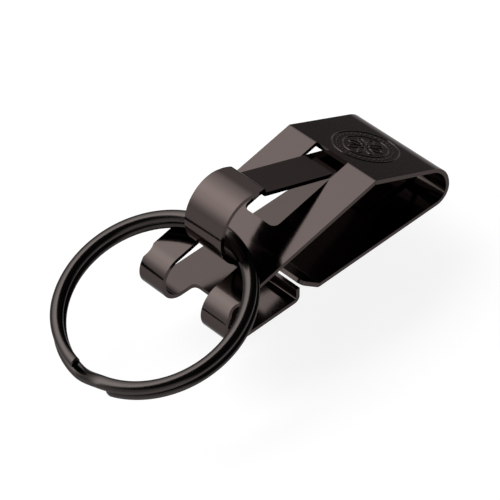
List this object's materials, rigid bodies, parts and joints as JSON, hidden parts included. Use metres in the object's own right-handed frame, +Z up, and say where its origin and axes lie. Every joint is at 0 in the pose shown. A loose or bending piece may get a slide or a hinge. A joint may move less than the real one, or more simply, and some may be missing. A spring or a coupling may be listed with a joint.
{
  "type": "belt key clip",
  "caption": "Slip-on belt key holder of sprung black-nickel strip: a loop that closes round a belt, a gated hook and a split key ring.",
  "frame": {"origin": "centre of the back plate's flat underside, on the clip's centre line", "axes": "+X along the clip towards the far bend, +Y across the strip, +Z up through the belt loop"},
  "size_m": [0.0953, 0.0442, 0.0289],
  "materials": {
    "plated_strip": "glossy black nickel plating on spring steel",
    "hook_plating": "glossy black nickel plating on spring steel",
    "ring_wire": "satin-gloss black nickel plating on steel wire"
  },
  "bodies": {
    "loop_top": {"top_plate": "plated_strip", "hook_strip": "hook_plating"},
    "loop_back": {"back_plate": "plated_strip", "hook_tail": "hook_plating"},
    "front_gate": {"front_plate": "plated_strip", "left_tab": "plated_strip", "right_tab": "plated_strip", "lower_sheet": "plated_strip"},
    "ring": {"split_ring": "ring_wire"}
  },
  "joints": [
    {"name": "belt_mouth", "type": "hinge", "parent": "loop_top", "child": "loop_back", "pos_m": [0.0212, 0, 0.0036], "axis": [0, -1, 0], "range_deg": [0, 12], "stiffness_Nm_per_rad": 2},
    {"name": "ring_gate", "type": "hinge", "parent": "loop_top", "child": "front_gate", "pos_m": [-0.00206, 0, 0.01897], "axis": [0, -1, 0], "range_deg": [0, 8], "stiffness_Nm_per_rad": 2},
    {"name": "ring_swing", "type": "hinge", "parent": "loop_top", "child": "ring", "pos_m": [-0.03331, 0, 0.01607], "axis": [0, 1, 0], "range_deg": [0, 190]}
  ]
}
